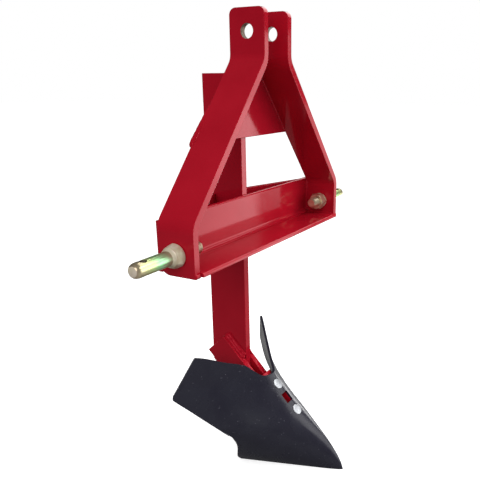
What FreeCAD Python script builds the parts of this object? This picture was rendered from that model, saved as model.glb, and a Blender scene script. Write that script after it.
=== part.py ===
"""Lay-off plough for a three-point hitch: bent-bar mast, cross angle, shank, frog and share.

Frame: X across the implement, -Y the way it travels, +Z up; the plane X = 0 is its mirror.
Everything is drawn with Y = 0 on the rear edges of the mast bars and Z = 0 on the ground,
then moved so that the origin is the one the record states.
"""
import math
import os

import FreeCAD
import Part

Vec = FreeCAD.Vector

# ---- Mast: two flat bars bent outward --------------------------------------------------------
HITCH_Z = 457.5             # lower hitch pins' axis above the ground
BAR_THICK = 12.7            # half-inch flat
BAR_WIDTH = 63.5            # two and a half inches, front to back
BAR_BEND = 22.0             # inside bend radius
CLEVIS_GAP = 63.5           # between the ears, for the top link's ball
MAST_SPREAD = 493.7         # over the outer faces at the feet
FOOT_BELOW_PIN = 32.3
BEND_ABOVE_PIN = 44.0       # outer faces' corner above each plumb foot
SLOPE_RISE = 224.2          # between the outer faces' two corners
EAR_LENGTH = 74.3
TOP_LINK_DROP = 34.0        # hole's middle below the ears' tops
TOP_LINK_RADIUS = 11.1      # seven eighths, over a category 1 top-link pin
EAR_CORNER = 11.0
HEEL_CORNER = 20.0          # lower rear corner of each foot

# ---- Cross angle and upper plate, behind the bars' rear edges --------------------------------
ANGLE_LEG = 76.2            # three-inch angle
ANGLE_THICK = 6.35
ANGLE_ROOT = 7.9
ANGLE_TOE = 4.0
ANGLE_ABOVE_FOOT = 1.4
PLATE_THICK = 6.35
PLATE_HEIGHT = 104.5
PLATE_BELOW_BEND = 19.7

# ---- Shank and its two flat-bar stays -------------------------------------------------------
SHANK_THICK = 15.875        # five eighths by three
SHANK_WIDTH = 76.2
SHANK_BELOW = 14.0          # of its raked foot below the cheeks
STAY_THICK = 9.525          # three eighths by two, on edge
STAY_HEIGHT = 50.8
STAY_BELOW_ANGLE_TOP = 1.5
STAY_REAR_MARGIN = 9.5      # from the stay's rear face to the shank's rear edge

# ---- Share: a 12-inch double-winged sweep of bent plate ---------------------------------------
SHARE_THICK = 4.7625        # three sixteenths
# each level of the blank: height, ridge's Y, wings' slope dY/dX, roundness of the ridge, half width
SHARE_LEVELS = (
    (0.0, -198.3, 3.20, 5.0, 78.0),
    (16.0, -191.5, 2.85, 13.0, 90.0),
    (41.0, -172.0, 2.38, 24.0, 104.0),
    (64.0, -147.0, 1.97, 34.0, 118.0),
    (86.0, -120.0, 1.62, 41.0, 132.0),
    (104.0, -98.3, 1.36, 37.0, 144.0),
    (122.7, -79.8, 1.14, 29.0, 155.0),
    (145.0, -59.8, 0.94, 23.0, 165.0),
    (166.0, -47.3, 0.85, 20.0, 165.0),
    (196.0, -38.0, 0.80, 20.0, 158.0),
    (232.0, -36.0, 0.81, 20.0, 142.0),
)
SHARE_GRID = (24, 12)       # rows and half columns of points that the blank is drawn through
SHARE_HOLE = 20.0           # square hole between the bolts
# outline of the +X wing on the share's face (X, Y, Z): round notch from the middle out to the
# upper corner, then down the straight heel; lower edge from the heel in, and tail down to the ground
SHARE_NOTCH = ((0.0, -48.0, 164.1), (10.9, -45.8, 164.2), (18.6, -41.5, 165.0), (26.0, -35.0, 169.7),
               (31.1, -29.4, 175.5), (36.2, -23.8, 182.0), (41.5, -18.5, 188.5), (48.8, -12.2, 193.7),
               (60.7, -2.5, 199.3), (75.5, 9.5, 205.4), (92.7, 23.5, 214.4), (118.4, 44.5, 224.9))
SHARE_HEEL = (158.6, 69.9, 153.7)
SHARE_LOWER_EDGE = (SHARE_HEEL, (142.8, 53.7, 133.0), (132.0, 40.4, 118.1), (122.7, 25.7, 104.0),
                    (114.0, 10.2, 90.6), (108.2, 1.3, 82.0), (100.2, -8.9, 71.0))
SHARE_TAIL = ((100.2, -8.9, 71.0), (97.9, -12.4, 69.3), (93.9, -16.3, 61.9), (90.1, -18.7, 53.5),
              (86.0, -18.8, 43.1), (80.7, -15.7, 29.1), (75.3, -11.4, 16.4), (69.6, -9.3, 6.7),
              (64.8, -10.9, 1.6), (60.0, -21.6, 0.0))
SHARE_CORNERS = (4.0, 5.0)  # radii of the upper corner and of the heel
# way in which the blank's edges are cut, square to its face: plan angle from ahead, then rise
SHARE_UPPER_CUT = (37.0, 14.0)
SHARE_LOWER_CUT = (58.0, -10.0)

# ---- Frog: what carries the share -------------------------------------------------------------
FROG_Z = 122.7              # the share's ridge midway between its bolts
FROG_Y = -79.8
FROG_ANGLE = 46.5           # of the ridge there, from level
CHEEK_THICK = 12.7
CHEEK_WIDTH = 50.8
CHEEK_UP = 165.0            # along the ridge from the middle hole to the square upper end
CHEEK_DOWN = 58.0
FACE_THICK = 15.875         # as the shank
FACE_UP = 61.0              # along the ridge from the middle hole
FACE_DOWN = 59.0
FACE_CROWN = ((2.0, 0.1), (12.0, 2.4), (20.6, 6.2))  # half width, drop: ground to the share

# ---- Plough bolts -----------------------------------------------------------------------------
BOLT_RADIUS = 5.55          # seven sixteenths
BOLT_HEAD_RADIUS = 10.3
BOLT_HEAD_EDGE = 1.5
BOLT_SPACING = 60.5
BOLT_PROUD = 5.0            # of the bolt's end beyond its nut
BOLT_CLEARANCE = 0.3
BOLT_NUT_HEIGHT = 9.5
NUT_CLEARANCE = 0.14        # each side, between the cheeks that keep it from turning

# ---- Lower hitch pins -------------------------------------------------------------------------
HITCH_RADIUS = 11.1         # seven-eighths, category 1
PIN_REACH = 77.2            # usable length beyond the collar
PIN_CHAMFER = 5.0
COLLAR_FLATS = 31.75
COLLAR_THICK = 13.0
STUD_RADIUS = 9.525         # three-quarter inch
STUD_PROUD = 20.5           # of the stud's end beyond its nut
LINCH_RADIUS = 5.75
LINCH_FROM_TIP = 20.0
WASHER_RADIUS = 15.0
WASHER_THICK = 4.8
STUD_NUT_FLATS = 28.6
STUD_NUT_THICK = 16.3
THREAD_CLEARANCE = 0.05

# ---- Derived ----------------------------------------------------------------------------------
PIN_Y = -0.5 * BAR_WIDTH    # top-link hole and hitch pins lie on the bars' middle line
MAST_FOOT_Z = HITCH_Z - FOOT_BELOW_PIN
LOWER_BEND_Z = HITCH_Z + BEND_ABOVE_PIN
UPPER_BEND_Z = LOWER_BEND_Z + SLOPE_RISE
MAST_TOP_Z = UPPER_BEND_Z + EAR_LENGTH
TOP_LINK_Z = MAST_TOP_Z - TOP_LINK_DROP
EAR_OUT_X = 0.5 * CLEVIS_GAP + BAR_THICK
FOOT_OUT_X = 0.5 * MAST_SPREAD
FOOT_IN_X = FOOT_OUT_X - BAR_THICK
ANGLE_FOOT_Z = MAST_FOOT_Z + ANGLE_ABOVE_FOOT
PLATE_TOP_Z = UPPER_BEND_Z - PLATE_BELOW_BEND
SHANK_FRONT_Y = PLATE_THICK
SHANK_REAR_Y = SHANK_FRONT_Y + SHANK_WIDTH
STAY_TOP_Z = ANGLE_FOOT_Z + ANGLE_LEG - STAY_BELOW_ANGLE_TOP
STAY_REAR_Y = SHANK_REAR_Y - STAY_REAR_MARGIN
FROG_COS = math.cos(math.radians(FROG_ANGLE))
FROG_SIN = math.sin(math.radians(FROG_ANGLE))
FACE_BACK = SHARE_THICK + FACE_THICK          # depth of the face bar's rear below the ridge
BOLT_NUT_FLATS = SHANK_THICK - 2 * NUT_CLEARANCE
PIN_TIP_X = FOOT_OUT_X + COLLAR_THICK + PIN_REACH
STUD_END_X = FOOT_IN_X - WASHER_THICK - STUD_NUT_THICK - STUD_PROUD
ORIGIN = Vec(0, PIN_Y, TOP_LINK_Z)


# ---- Helpers ----------------------------------------------------------------------------------
def polygon(points):
    """Closed face through the points."""
    return Part.Face(Part.makePolygon(list(points) + [points[0]]))


def parallel(points, distance):
    """Open polyline moved sideways by a distance, its corners mitred; points are (x, z)."""
    moved = []
    for index, (x, z) in enumerate(points):
        normals = []
        for first, second in ((index - 1, index), (index, index + 1)):
            if first < 0 or second >= len(points):
                continue
            dx = points[second][0] - points[first][0]
            dz = points[second][1] - points[first][1]
            length = math.hypot(dx, dz)
            normals.append((dz / length, -dx / length))
        nx = sum(n[0] for n in normals)
        nz = sum(n[1] for n in normals)
        scale = distance * len(normals) / (nx * nx + nz * nz)
        if len(normals) == 1:
            scale = distance
        moved.append((x + nx * scale, z + nz * scale))
    return moved


def rounded_face(corners, to_point):
    """Face with rounded corners. corners: (a, b, radius); to_point places (a, b) in space."""
    edges = []
    starts, ends, middles = [], [], []
    count = len(corners)
    for index, (a, b, radius) in enumerate(corners):
        here = Vec(a, b, 0)
        before = Vec(corners[index - 1][0], corners[index - 1][1], 0) - here
        after = Vec(corners[(index + 1) % count][0], corners[(index + 1) % count][1], 0) - here
        before.normalize()
        after.normalize()
        half = 0.5 * before.getAngle(after)
        reach = radius / math.tan(half) if radius else 0.0
        starts.append(here + before * reach)
        ends.append(here + after * reach)
        middle = None
        if radius:
            inward = before + after
            inward.normalize()
            middle = here + inward * (radius / math.sin(half) - radius)
        middles.append(middle)
    for index in range(count):
        if middles[index] is not None:
            edges.append(Part.Arc(*(to_point(v.x, v.y) for v in
                                    (starts[index], middles[index], ends[index]))).toShape())
        nxt = (index + 1) % count
        if (starts[nxt] - ends[index]).Length > 1e-6:
            edges.append(Part.makeLine(to_point(ends[index].x, ends[index].y),
                                       to_point(starts[nxt].x, starts[nxt].y)))
    return Part.Face(Part.Wire(edges))


def across(x):
    """Placer for side outlines (y, z) drawn in the plane at X = x."""
    return lambda y, z: Vec(x, y, z)


def mirrored(shape):
    """The same shape on the other side of X = 0."""
    return shape.mirror(Vec(0, 0, 0), Vec(1, 0, 0))


def rod(radius, start_x, end_x, y, z):
    """Round rod along X."""
    return Part.makeCylinder(radius, end_x - start_x, Vec(start_x, y, z), Vec(1, 0, 0))


def hexagon(flats, start_x, end_x, y, z):
    """Hexagonal prism along X with two level flats' corners pointing fore and aft."""
    radius = flats / math.sqrt(3.0)
    points = [Vec(start_x, y + radius * math.cos(math.radians(60 * k)),
                  z + radius * math.sin(math.radians(60 * k))) for k in range(6)]
    return polygon(points).extrude(Vec(end_x - start_x, 0, 0))


def on_frog(along, out, x=0.0):
    """Point in the frog's own directions: along the ridge (up) and out of the share's face."""
    return Vec(x, FROG_Y + along * FROG_COS - out * FROG_SIN,
               FROG_Z + along * FROG_SIN + out * FROG_COS)


# ---- Mast -------------------------------------------------------------------------------------
def mast_bar():
    """Flat bar on the +X side: ear, slope and plumb foot, bored for the two pins."""
    outer = [(EAR_OUT_X, MAST_TOP_Z), (EAR_OUT_X, UPPER_BEND_Z),
             (FOOT_OUT_X, LOWER_BEND_Z), (FOOT_OUT_X, MAST_FOOT_Z)]
    inner = parallel(outer, BAR_THICK)
    wide = BAR_BEND + BAR_THICK
    corners = [(*outer[0], 0.0), (*outer[1], BAR_BEND), (*outer[2], wide), (*outer[3], 0.0),
               (*inner[3], 0.0), (*inner[2], BAR_BEND), (*inner[1], wide), (*inner[0], 0.0)]
    strip = rounded_face(corners, lambda x, z: Vec(x, -BAR_WIDTH, z))
    bar = strip.extrude(Vec(0, BAR_WIDTH, 0))
    side = [(-BAR_WIDTH, MAST_FOOT_Z, 0.0), (0.0, MAST_FOOT_Z, HEEL_CORNER),
            (0.0, MAST_TOP_Z, EAR_CORNER), (-BAR_WIDTH, MAST_TOP_Z, EAR_CORNER)]
    bar = bar.common(rounded_face(side, across(0.0)).extrude(Vec(FOOT_OUT_X + 1, 0, 0)))
    bar = bar.cut(rod(TOP_LINK_RADIUS, 0, 2 * EAR_OUT_X, PIN_Y, TOP_LINK_Z))
    return bar.cut(rod(STUD_RADIUS + THREAD_CLEARANCE, FOOT_IN_X - 1, FOOT_OUT_X + 1,
                       PIN_Y, HITCH_Z))


def bar_middle_x(z):
    """Half the spread of the sloping bars' middle lines at a height."""
    run = (FOOT_OUT_X - EAR_OUT_X) / (UPPER_BEND_Z - LOWER_BEND_Z)
    return EAR_OUT_X + (UPPER_BEND_Z - z) * run - 0.5 * BAR_THICK * math.hypot(1.0, run)


def upper_plate():
    """Plate between the sloping bars, lapping half of each bar's rear edge."""
    plate_foot = PLATE_TOP_Z - PLATE_HEIGHT
    top, foot = bar_middle_x(PLATE_TOP_Z), bar_middle_x(plate_foot)
    face = polygon([Vec(-top, 0, PLATE_TOP_Z), Vec(top, 0, PLATE_TOP_Z),
                    Vec(foot, 0, plate_foot), Vec(-foot, 0, plate_foot)])
    return face.extrude(Vec(0, PLATE_THICK, 0))


def cross_angle():
    """Angle between the feet: upright leg behind them, level leg running forward."""
    rear, front = ANGLE_THICK, ANGLE_THICK - ANGLE_LEG
    corners = [(rear, ANGLE_FOOT_Z, 0.0), (rear, ANGLE_FOOT_Z + ANGLE_LEG, 0.0),
               (0.0, ANGLE_FOOT_Z + ANGLE_LEG, ANGLE_TOE),
               (0.0, ANGLE_FOOT_Z + ANGLE_THICK, ANGLE_ROOT),
               (front, ANGLE_FOOT_Z + ANGLE_THICK, ANGLE_TOE), (front, ANGLE_FOOT_Z, 0.0)]
    half = FOOT_IN_X + 0.5 * BAR_THICK
    angle = rounded_face(corners, across(-half)).extrude(Vec(2 * half, 0, 0))
    for x in (FOOT_IN_X, -FOOT_IN_X - BAR_THICK):
        angle = angle.cut(Part.makeBox(BAR_THICK, ANGLE_LEG, 2 * ANGLE_LEG,
                                       Vec(x, -ANGLE_LEG, ANGLE_FOOT_Z - 1)))
    return angle


# ---- Shank, stays and frog --------------------------------------------------------------------
def shank():
    """Upright flat bar, its foot cut on the rake just below the cheeks."""
    bar = Part.makeBox(SHANK_THICK, SHANK_WIDTH, PLATE_TOP_Z,
                       Vec(-0.5 * SHANK_THICK, SHANK_FRONT_Y, 0))
    depth, reach = -(FACE_BACK + CHEEK_WIDTH + SHANK_BELOW), PLATE_TOP_Z
    below = [on_frog(-reach, depth, -SHANK_THICK), on_frog(reach, depth, -SHANK_THICK),
             on_frog(reach, depth - reach, -SHANK_THICK),
             on_frog(-reach, depth - reach, -SHANK_THICK)]
    return bar.cut(polygon(below).extrude(Vec(2 * SHANK_THICK, 0, 0)))


def rear_stay():
    """Flat bar on edge from the cross angle's +X end back to the shank's side."""
    end_x, side_x = FOOT_IN_X + 0.5 * BAR_THICK, 0.5 * SHANK_THICK
    slope = (STAY_REAR_Y - ANGLE_THICK) / (end_x - side_x)
    drop = STAY_THICK * math.hypot(1.0, slope)
    foot = STAY_TOP_Z - STAY_HEIGHT
    face = polygon([Vec(end_x, ANGLE_THICK, foot), Vec(side_x, STAY_REAR_Y, foot),
                    Vec(side_x, STAY_REAR_Y - drop, foot),
                    Vec(end_x - drop / slope, ANGLE_THICK, foot)])
    return face.extrude(Vec(0, 0, STAY_HEIGHT))


def frog_cheek():
    """Flat bar on the shank's +X side, running forward and down behind the share."""
    x = 0.5 * SHANK_THICK
    face = polygon([on_frog(-CHEEK_DOWN, -FACE_BACK, x), on_frog(CHEEK_UP, -FACE_BACK, x),
                    on_frog(CHEEK_UP, -FACE_BACK - CHEEK_WIDTH, x),
                    on_frog(-CHEEK_DOWN, -FACE_BACK - CHEEK_WIDTH, x)])
    return face.extrude(Vec(CHEEK_THICK, 0, 0))


def frog_face():
    """Bar across the cheeks that the share is bolted to, crowned to the share's inside."""
    half = 0.5 * SHANK_THICK + CHEEK_THICK
    right = [on_frog(-FACE_DOWN, -SHARE_THICK - drop, x) for x, drop in FACE_CROWN]
    left = [on_frog(-FACE_DOWN, -SHARE_THICK - drop, -x) for x, drop in reversed(FACE_CROWN)]
    rear = [on_frog(-FACE_DOWN, -FACE_BACK, x) for x in (half, -half)]
    bar = polygon(right + rear + left).extrude(on_frog(FACE_UP, 0) - on_frog(-FACE_DOWN, 0))
    for along in (-0.5 * BOLT_SPACING, 0.5 * BOLT_SPACING):
        bar = bar.cut(frog_rod(BOLT_RADIUS + BOLT_CLEARANCE, along, 0, -2 * FACE_BACK))
        bar = bar.cut(bolt_head(along, BOLT_CLEARANCE))
    return bar


def frog_rod(radius, along, top, foot):
    """Round rod square to the ridge, between two heights over the share's face."""
    start, end = on_frog(along, foot), on_frog(along, top)
    return Part.makeCylinder(radius, (end - start).Length, start, end - start)


# ---- Share ------------------------------------------------------------------------------------
def level_at(z):
    """Ridge's Y, slope, roundness and half width at a height: smooth curves through the levels."""
    heights = [level[0] for level in SHARE_LEVELS]
    last = len(heights) - 1
    k = max(index for index in range(last) if heights[index] <= z)
    step = heights[k + 1] - heights[k]
    t = (z - heights[k]) / step
    values = []
    for column in range(1, len(SHARE_LEVELS[0])):
        rates = []
        for index in (k, k + 1):
            low, high = max(index - 1, 0), min(index + 1, last)
            rates.append((SHARE_LEVELS[high][column] - SHARE_LEVELS[low][column])
                         / (heights[high] - heights[low]) * step)
        start, end = SHARE_LEVELS[k][column], SHARE_LEVELS[k + 1][column]
        values.append(start + t * rates[0]
                      + t * t * (3 * (end - start) - 2 * rates[0] - rates[1])
                      + t ** 3 * (rates[0] + rates[1] - 2 * (end - start)))
    return values


def share_y(x, z):
    """Y of the share's face: at each height a vee with a rounded ridge."""
    ridge_y, slope, roundness, _ = level_at(z)
    return ridge_y + slope * (math.hypot(x, roundness) - roundness)


def share_points(z):
    """Face points and back points of the blank at one height, from -X to +X."""
    _, slope, roundness, half = level_at(z)
    low, high = max(z - 1, SHARE_LEVELS[0][0]), min(z + 1, SHARE_LEVELS[-1][0])
    front, back = [], []
    columns = SHARE_GRID[1]
    for step in range(-columns, columns + 1):
        ratio = step / columns
        x = half * ratio * (0.35 + 0.65 * abs(ratio))
        lean = (share_y(x, high) - share_y(x, low)) / (high - low)
        flare = slope * x / math.hypot(x, roundness)
        front.append(Vec(x, share_y(x, z), z))
        back.append(front[-1] + Vec(0, SHARE_THICK * math.sqrt(1 + lean * lean + flare * flare), 0))
    return front, back


def share_blank():
    """Bent plate before its edges are cut: two smooth faces, joined round their rims."""
    foot, top = SHARE_LEVELS[0][0], SHARE_LEVELS[-1][0]
    count = SHARE_GRID[0]
    rows = [share_points(foot + (top - foot) * k / count) for k in range(count + 1)]
    faces = []
    for which in (0, 1):
        surface = Part.BSplineSurface()
        surface.interpolate([row[which] for row in rows])
        faces.append(surface.toShape())
    rims = [Part.makeRuledSurface(first, second)
            for first, second in zip(*(face.Edges for face in faces))]
    return Part.makeSolid(Part.makeShell(faces + rims))


def edge_cut(runs, cut, away):
    """Prism that trims the +X half of the blank along runs of its outline, and straight on.

    Each run is the points of a line or of a smooth curve, and the first starts nearest the
    middle. cut gives the prism's direction. away is 1 for runs along the top, with the share
    below them, or -1 for runs along the foot.
    """
    turn, rise = (math.radians(angle) for angle in cut)
    ahead = Vec(math.sin(turn) * math.cos(rise), -math.cos(turn) * math.cos(rise), math.sin(rise))
    side = Vec(math.cos(turn), math.sin(turn), 0)
    up = ahead.cross(side)
    reach = -2 * SHARE_LEVELS[0][1]
    drawn = [[side * (Vec(*point) * side) + up * (Vec(*point) * up) for point in run]
             for run in runs]
    edges = []
    for points in drawn:
        if len(points) == 2:
            edges.append(Part.makeLine(*points))
            continue
        curve = Part.BSplineCurve()
        curve.interpolate(points)
        edges.append(curve.toShape())
    start, corner = drawn[0][0], drawn[-1][-1]
    past = corner + (corner - drawn[-1][-2]).normalize() * reach
    front, beyond = start - side * reach, past - up * (2 * away * reach)
    rest = [corner, past, beyond, front - up * (2 * away * reach), front, start]
    edges += [Part.makeLine(first, second) for first, second in zip(rest, rest[1:])]
    face = Part.Face(Part.Wire(Part.__sortEdges__(edges)))
    face.translate(ahead * -reach)
    return face.extrude(ahead * (2 * reach))


def round_corners(wing):
    """Round the trimmed wing's upper corner and heel in the plate's own plane."""
    for corner, radius in zip((SHARE_NOTCH[-1], SHARE_HEEL), SHARE_CORNERS):
        place = Vec(*corner) + Vec(0, 0.5 * SHARE_THICK, 0)
        edge = min(wing.Edges, key=lambda e: e.CenterOfMass.distanceToPoint(place))
        wing = wing.makeFillet(radius, [edge])
    return wing


def bolt_head(along, clearance):
    """Countersunk head: a short edge, then a cone that ends in the bolt's own radius."""
    above = SHARE_THICK if clearance else 0.0
    edge = frog_rod(BOLT_HEAD_RADIUS + clearance, along, above, -BOLT_HEAD_EDGE)
    cone_height = BOLT_HEAD_RADIUS - BOLT_RADIUS
    top = on_frog(along, -BOLT_HEAD_EDGE)
    down = on_frog(along, -BOLT_HEAD_EDGE - 1) - top
    cone = Part.makeCone(BOLT_HEAD_RADIUS + clearance, BOLT_RADIUS + clearance, cone_height, top, down)
    return edge.fuse(cone)


def share():
    """Bent plate with a countersunk hole for each bolt and an empty square one between them."""
    reach = -2 * SHARE_LEVELS[0][1]
    half = share_blank().common(Part.makeBox(reach, 2 * reach, reach, Vec(0, -reach, 0)))
    half = half.common(edge_cut((SHARE_NOTCH, (SHARE_NOTCH[-1], SHARE_HEEL)), SHARE_UPPER_CUT, 1))
    half = half.common(edge_cut((SHARE_TAIL[::-1], SHARE_LOWER_EDGE[::-1]), SHARE_LOWER_CUT, -1))
    half = round_corners(half.Solids[0])
    blade = half.fuse(mirrored(half)).removeSplitter()
    edge = 0.5 * SHARE_HOLE
    hole = polygon([on_frog(edge, 0, edge), on_frog(edge, 0, -edge),
                    on_frog(-edge, 0, -edge), on_frog(-edge, 0, edge)])
    across_plate = on_frog(0, SHARE_HOLE) - on_frog(0, 0)
    hole.translate(across_plate)
    blade = blade.cut(hole.extrude(across_plate * -2))
    for place in (-0.5, 0.5):
        along = place * BOLT_SPACING
        blade = blade.cut(frog_rod(BOLT_RADIUS + BOLT_CLEARANCE, along, 0, -2 * SHARE_THICK))
        blade = blade.cut(bolt_head(along, BOLT_CLEARANCE))
    return blade


def plough_bolt(along):
    """Plough bolt, its head flush with the share's ridge."""
    bolt = bolt_head(along, 0.0).fuse(frog_rod(BOLT_RADIUS, along, -BOLT_HEAD_EDGE,
                                                  -FACE_BACK - BOLT_NUT_HEIGHT - BOLT_PROUD))
    return bolt.removeSplitter()


def plough_nut(along):
    """Nut under the face bar, between the cheeks."""
    radius = BOLT_NUT_FLATS / math.sqrt(3.0)
    centre = on_frog(along, -FACE_BACK)
    up = on_frog(along + 1, -FACE_BACK) - centre
    points = [centre + up * (radius * math.cos(math.radians(60 * k)))
              + Vec(radius * math.sin(math.radians(60 * k)), 0, 0) for k in range(6)]
    nut = polygon(points).extrude((on_frog(along, -FACE_BACK - 1) - centre) * BOLT_NUT_HEIGHT)
    return nut.cut(frog_rod(BOLT_RADIUS + THREAD_CLEARANCE, along, 0, -2 * FACE_BACK))


# ---- Lower hitch pins -------------------------------------------------------------------------
def hitch_pin():
    """Pin on the +X side: round end, hexagonal collar and threaded stud in one piece."""
    collar_x = FOOT_OUT_X + COLLAR_THICK
    outline = [Vec(STUD_END_X, 0, 0), Vec(STUD_END_X, STUD_RADIUS - 1.5, 0),
               Vec(STUD_END_X + 1.5, STUD_RADIUS, 0), Vec(FOOT_OUT_X + 1, STUD_RADIUS, 0),
               Vec(FOOT_OUT_X + 1, HITCH_RADIUS, 0),
               Vec(PIN_TIP_X - PIN_CHAMFER, HITCH_RADIUS, 0),
               Vec(PIN_TIP_X, HITCH_RADIUS - 0.6 * PIN_CHAMFER, 0), Vec(PIN_TIP_X, 0, 0)]
    turned = polygon(outline).revolve(Vec(0, 0, 0), Vec(1, 0, 0), 360)
    turned.translate(Vec(0, PIN_Y, HITCH_Z))
    collar = hexagon(COLLAR_FLATS, FOOT_OUT_X, collar_x, PIN_Y, HITCH_Z)
    wide = 0.5 * COLLAR_FLATS
    bevel = Part.makeCone(wide + COLLAR_THICK * 1.7, wide, COLLAR_THICK,
                          Vec(FOOT_OUT_X, PIN_Y, HITCH_Z), Vec(1, 0, 0))
    pin = turned.fuse(collar.common(bevel)).removeSplitter()
    return pin.cut(Part.makeCylinder(LINCH_RADIUS, 4 * HITCH_RADIUS,
                                     Vec(PIN_TIP_X - LINCH_FROM_TIP, PIN_Y,
                                         HITCH_Z - 2 * HITCH_RADIUS)))


def lock_washer():
    """Spring washer between nut and bar."""
    ring = rod(WASHER_RADIUS, FOOT_IN_X - WASHER_THICK, FOOT_IN_X, PIN_Y, HITCH_Z)
    return ring.cut(rod(STUD_RADIUS + THREAD_CLEARANCE, 0, FOOT_OUT_X, PIN_Y, HITCH_Z))


def stud_nut():
    """Nut on the stud's inner end, chamfered on its free face."""
    end_x = FOOT_IN_X - WASHER_THICK
    start_x = end_x - STUD_NUT_THICK
    nut = hexagon(STUD_NUT_FLATS, start_x, end_x, PIN_Y, HITCH_Z)
    wide = 0.5 * STUD_NUT_FLATS
    bevel = Part.makeCone(wide, wide + STUD_NUT_THICK * 1.7, STUD_NUT_THICK,
                          Vec(start_x, PIN_Y, HITCH_Z), Vec(1, 0, 0))
    return nut.common(bevel).cut(rod(STUD_RADIUS + THREAD_CLEARANCE, 0, FOOT_OUT_X,
                                     PIN_Y, HITCH_Z))


# ---- Export -----------------------------------------------------------------------------------
def main():
    """Build every piece, move it to the record's origin and write one STEP file for each."""
    pieces = {
        "upper_plate": upper_plate(), "cross_angle": cross_angle(), "shank": shank(),
        "frog_face": frog_face(), "share": share(),
        "plough_bolt_upper": plough_bolt(0.5 * BOLT_SPACING),
        "plough_bolt_lower": plough_bolt(-0.5 * BOLT_SPACING),
        "plough_nut_upper": plough_nut(0.5 * BOLT_SPACING),
        "plough_nut_lower": plough_nut(-0.5 * BOLT_SPACING),
    }
    for name, make in (("mast_bar", mast_bar), ("rear_stay", rear_stay),
                       ("frog_cheek", frog_cheek), ("hitch_pin", hitch_pin),
                       ("lock_washer", lock_washer), ("stud_nut", stud_nut)):
        left = make()
        pieces[name + "_left"] = left
        pieces[name + "_right"] = mirrored(left)
    os.makedirs("parts", exist_ok=True)
    for name, shape in pieces.items():
        solid = shape.Solids[0]
        solid.translate(-ORIGIN)
        solid.exportStep(os.path.join("parts", name + ".step"))
        print(name, len(shape.Solids), round(solid.Volume, 1), solid.isValid())


main()
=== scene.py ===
"""Lay-off plough: a three-point-hitch mast of painted flat bar that carries a furrowing share.

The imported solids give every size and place. This script rounds their edges, lays the weld
beads, cuts the threads and gives each surface its finish, then sets up a plain studio.
"""
import logging
import math
import random
from dataclasses import dataclass, field
from enum import Enum

import bmesh
import bpy
from mathutils import Matrix, Vector


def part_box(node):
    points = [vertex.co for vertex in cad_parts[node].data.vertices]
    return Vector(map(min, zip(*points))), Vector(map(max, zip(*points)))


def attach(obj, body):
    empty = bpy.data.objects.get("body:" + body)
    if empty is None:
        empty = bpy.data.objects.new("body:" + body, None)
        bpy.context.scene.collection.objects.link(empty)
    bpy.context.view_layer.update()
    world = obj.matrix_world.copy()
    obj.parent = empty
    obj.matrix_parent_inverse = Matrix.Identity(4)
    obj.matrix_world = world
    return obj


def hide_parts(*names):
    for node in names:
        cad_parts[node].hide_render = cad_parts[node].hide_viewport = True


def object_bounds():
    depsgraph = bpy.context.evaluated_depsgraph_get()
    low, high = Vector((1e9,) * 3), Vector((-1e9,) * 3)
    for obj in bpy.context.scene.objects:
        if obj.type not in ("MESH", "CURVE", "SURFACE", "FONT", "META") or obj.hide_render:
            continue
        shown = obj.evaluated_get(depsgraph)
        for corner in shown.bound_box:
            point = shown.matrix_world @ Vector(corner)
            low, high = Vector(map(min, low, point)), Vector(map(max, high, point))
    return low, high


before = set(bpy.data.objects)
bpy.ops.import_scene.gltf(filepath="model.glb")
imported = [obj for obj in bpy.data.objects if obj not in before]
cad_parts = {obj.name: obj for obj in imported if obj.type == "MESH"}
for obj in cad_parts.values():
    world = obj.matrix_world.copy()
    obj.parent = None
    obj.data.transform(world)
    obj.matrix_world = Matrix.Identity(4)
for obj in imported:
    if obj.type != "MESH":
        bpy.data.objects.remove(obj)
CAD_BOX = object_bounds()

Tree = bpy.types.NodeTree
Node = bpy.types.Node
Socket = bpy.types.NodeSocket
BMesh = bmesh.types.BMesh

MM = 0.001
BODY = "root"
SHARP = 40.0        # degrees between two faces, past which their edge is shaded sharp
CREASE = 30.0       # degrees past which an edge of a solid is rounded
SEAM = 0.002        # millimetres between corners of loose triangles that are one corner
FLAT = 0.4          # degrees between triangles that are one face
log = logging.getLogger("plough")


class Side(Enum):
    """The two sides of the implement, seen facing the way it travels."""

    LEFT = 1
    RIGHT = -1

    @property
    def suffix(self) -> str:
        """Ending of the side's node names."""
        return "_left" if self is Side.LEFT else "_right"


class Slot(Enum):
    """Material slots that the record names."""

    FRAME = "frame_paint"
    SHARE = "share_paint"
    BRIGHT = "bright_zinc"
    YELLOW = "yellow_zinc"


# ---- Finishes -----------------------------------------------------------------------------------
def linear(colour: str) -> tuple[float, float, float, float]:
    """Turn six sRGB hex digits into linear red, green and blue with an alpha of 1."""
    parts = [int(colour[i:i + 2], 16) / 255 for i in (0, 2, 4)]
    return (*(p / 12.92 if p <= 0.04045 else ((p + 0.055) / 1.055) ** 2.4 for p in parts), 1.0)


def add_node(tree: Tree, kind: str, links: dict | None = None, **settings) -> Node:
    """Add a node with its settings and links.

    Args:
        tree: Node tree that gets the node.
        kind: The node's type, without its ShaderNode prefix.
        links: Input names or numbers, each with a socket to link or a value to set.
        settings: The node's own properties.

    Returns:
        The new node.
    """
    node = tree.nodes.new("ShaderNode" + kind)
    for name, value in settings.items():
        setattr(node, name, value)
    for name, value in (links or {}).items():
        if isinstance(value, Socket):
            tree.links.new(value, node.inputs[name])
        else:
            node.inputs[name].default_value = value
    return node


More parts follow.
